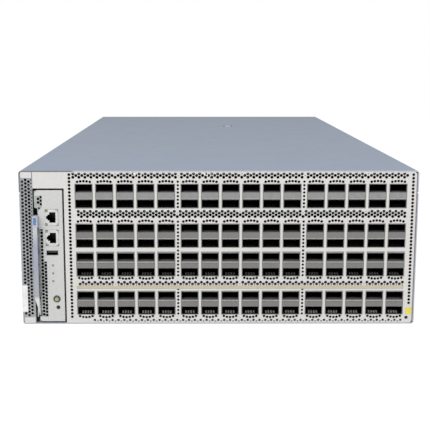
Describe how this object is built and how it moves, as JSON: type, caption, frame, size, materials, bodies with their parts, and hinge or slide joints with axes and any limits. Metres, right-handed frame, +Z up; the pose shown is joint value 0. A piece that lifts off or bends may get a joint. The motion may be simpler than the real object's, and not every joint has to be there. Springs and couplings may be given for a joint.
{
  "type": "modular chassis switch",
  "caption": "Rack-wide network switch in a folded steel case: rows of stacked port cages, slide-out control module with ejector lever, slide-out fan trays and power supplies.",
  "frame": {"origin": "centre of the case's underside", "axes": "+Z up, -Y out of the port side, +X to the right when the ports are looked at, the long way of the case along Y"},
  "size_m": [0.442, 0.8305, 0.175],
  "materials": {
    "aluminium": "satin",
    "black_socket": "satin",
    "board": "matte",
    "board_edge": "matte",
    "button": "satin",
    "copper": "satin",
    "cover_paint": "satin",
    "fan_plastic": "matte",
    "latch": "satin",
    "lens": "gloss",
    "lever_paint": "satin",
    "reset": "matte",
    "shield_steel": "satin",
    "steel": "satin",
    "touch_point": "gloss",
    "white_paint": "satin"
  },
  "bodies": {
    "chassis": {"chassis_tray": "cover_paint", "top_cover": "cover_paint", "cover_pad": "steel", "front_panel": "white_paint", "earth_jack": "steel", "side_grille": "white_paint", "module_bay": "steel", "upper_board": "board", "middle_board": "board", "lower_board": "board_edge", "chip_heat_sink": "aluminium", "retimer_heat_sinks": "aluminium", "board_posts": "steel", "power_board": "board", "bus_bars": "copper", "rear_bays": "steel", "rear_frame": "cover_paint", "port_connectors": "black_socket", "cages_row_1": "steel", "cages_row_2": "steel", "cages_row_3": "steel", "cages_row_4": "steel"},
    "control_module": {"module_faceplate": "white_paint", "module_shield": "shield_steel", "module_board": "board", "lower_network_jack": "steel", "upper_network_jack": "steel", "usb_socket": "steel", "light_pipes": "lens", "module_heat_sink": "aluminium", "lever_pivot_pin": "steel"},
    "lever": {"ejector_lever": "lever_paint", "lever_touch_point": "touch_point"},
    "push_button": {"push_button": "button"},
    "reset_button": {"reset_button": "reset"},
    "fan_module_1": {"fan_tray_1": "cover_paint", "fan_housing_1": "fan_plastic"},
    "rotor_1": {"fan_rotor_1": "fan_plastic"},
    "fan_release_1": {"fan_latch_1": "latch"},
    "fan_module_2": {"fan_tray_2": "cover_paint", "fan_housing_2": "fan_plastic"},
    "rotor_2": {"fan_rotor_2": "fan_plastic"},
    "fan_release_2": {"fan_latch_2": "latch"},
    "fan_module_3": {"fan_tray_3": "cover_paint", "fan_housing_3": "fan_plastic"},
    "rotor_3": {"fan_rotor_3": "fan_plastic"},
    "fan_release_3": {"fan_latch_3": "latch"},
    "supply_1": {"supply_case_1": "steel", "supply_handle_1": "black_socket"},
    "supply_release_1": {"supply_latch_1": "latch"},
    "supply_2": {"supply_case_2": "steel", "supply_handle_2": "black_socket"},
    "supply_release_2": {"supply_latch_2": "latch"},
    "supply_3": {"supply_case_3": "steel", "supply_handle_3": "black_socket"},
    "supply_release_3": {"supply_latch_3": "latch"},
    "supply_4": {"supply_case_4": "steel", "supply_handle_4": "black_socket"},
    "supply_release_4": {"supply_latch_4": "latch"}
  },
  "joints": [
    {"name": "module_slide", "type": "slide", "parent": "chassis", "child": "control_module", "axis": [0, -1, 0], "range_m": [0, 0.25]},
    {"name": "lever_hinge", "type": "hinge", "parent": "control_module", "child": "lever", "pos_m": [-0.2019, -0.3954, 0.012], "axis": [1, 0, 0], "range_deg": [0, 50]},
    {"name": "push_button_travel", "type": "slide", "parent": "control_module", "child": "push_button", "axis": [0, 1, 0], "range_m": [0, 0.0015], "stiffness_N_per_m": 400, "springref_m": -0.001},
    {"name": "reset_button_travel", "type": "slide", "parent": "control_module", "child": "reset_button", "axis": [0, 1, 0], "range_m": [0, 0.0008], "stiffness_N_per_m": 400, "springref_m": -0.0006},
    {"name": "fan_module_1_slide", "type": "slide", "parent": "chassis", "child": "fan_module_1", "axis": [0, 1, 0], "range_m": [0, 0.17]},
    {"name": "rotor_1_spin", "type": "hinge", "parent": "fan_module_1", "child": "rotor_1", "pos_m": [-0.1455, 0.3755, 0.1063], "axis": [0, 1, 0], "continuous": true},
    {"name": "fan_release_1_bend", "type": "hinge", "parent": "fan_module_1", "child": "fan_release_1", "pos_m": [-0.0818, 0.39925, 0.1063], "axis": [0, 0, 1], "range_deg": [0, 8], "stiffness_Nm_per_rad": 0.5, "springref_deg": -2.86},
    {"name": "fan_module_2_slide", "type": "slide", "parent": "chassis", "child": "fan_module_2", "axis": [0, 1, 0], "range_m": [0, 0.17]},
    {"name": "rotor_2_spin", "type": "hinge", "parent": "fan_module_2", "child": "rotor_2", "pos_m": [0, 0.3755, 0.1063], "axis": [0, 1, 0], "continuous": true},
    {"name": "fan_release_2_bend", "type": "hinge", "parent": "fan_module_2", "child": "fan_release_2", "pos_m": [0.0637, 0.39925, 0.1063], "axis": [0, 0, 1], "range_deg": [0, 8], "stiffness_Nm_per_rad": 0.5, "springref_deg": -2.86},
    {"name": "fan_module_3_slide", "type": "slide", "parent": "chassis", "child": "fan_module_3", "axis": [0, 1, 0], "range_m": [0, 0.17]},
    {"name": "rotor_3_spin", "type": "hinge", "parent": "fan_module_3", "child": "rotor_3", "pos_m": [0.1455, 0.3755, 0.1063], "axis": [0, 1, 0], "continuous": true},
    {"name": "fan_release_3_bend", "type": "hinge", "parent": "fan_module_3", "child": "fan_release_3", "pos_m": [0.2092, 0.39925, 0.1063], "axis": [0, 0, 1], "range_deg": [0, 8], "stiffness_Nm_per_rad": 0.5, "springref_deg": -2.86},
    {"name": "supply_1_slide", "type": "slide", "parent": "chassis", "child": "supply_1", "axis": [0, 1, 0], "range_m": [0, 0.2]},
    {"name": "supply_release_1_bend", "type": "hinge", "parent": "supply_1", "child": "supply_release_1", "pos_m": [-0.14975, 0.39925, 0.0215], "axis": [0, 0, 1], "range_deg": [0, 8], "stiffness_Nm_per_rad": 0.5, "springref_deg": -2.86},
    {"name": "supply_2_slide", "type": "slide", "parent": "chassis", "child": "supply_2", "axis": [0, 1, 0], "range_m": [0, 0.2]},
    {"name": "supply_release_2_bend", "type": "hinge", "parent": "supply_2", "child": "supply_release_2", "pos_m": [-0.07225, 0.39925, 0.0215], "axis": [0, 0, 1], "range_deg": [0, 8], "stiffness_Nm_per_rad": 0.5, "springref_deg": -2.86},
    {"name": "supply_3_slide", "type": "slide", "parent": "chassis", "child": "supply_3", "axis": [0, 1, 0], "range_m": [0, 0.2]},
    {"name": "supply_release_3_bend", "type": "hinge", "parent": "supply_3", "child": "supply_release_3", "pos_m": [0.13475, 0.39925, 0.0215], "axis": [0, 0, 1], "range_deg": [0, 8], "stiffness_Nm_per_rad": 0.5, "springref_deg": -2.86},
    {"name": "supply_4_slide", "type": "slide", "parent": "chassis", "child": "supply_4", "axis": [0, 1, 0], "range_m": [0, 0.2]},
    {"name": "supply_release_4_bend", "type": "hinge", "parent": "supply_4", "child": "supply_release_4", "pos_m": [0.21225, 0.39925, 0.0215], "axis": [0, 0, 1], "range_deg": [0, 8], "stiffness_Nm_per_rad": 0.5, "springref_deg": -2.86}
  ]
}
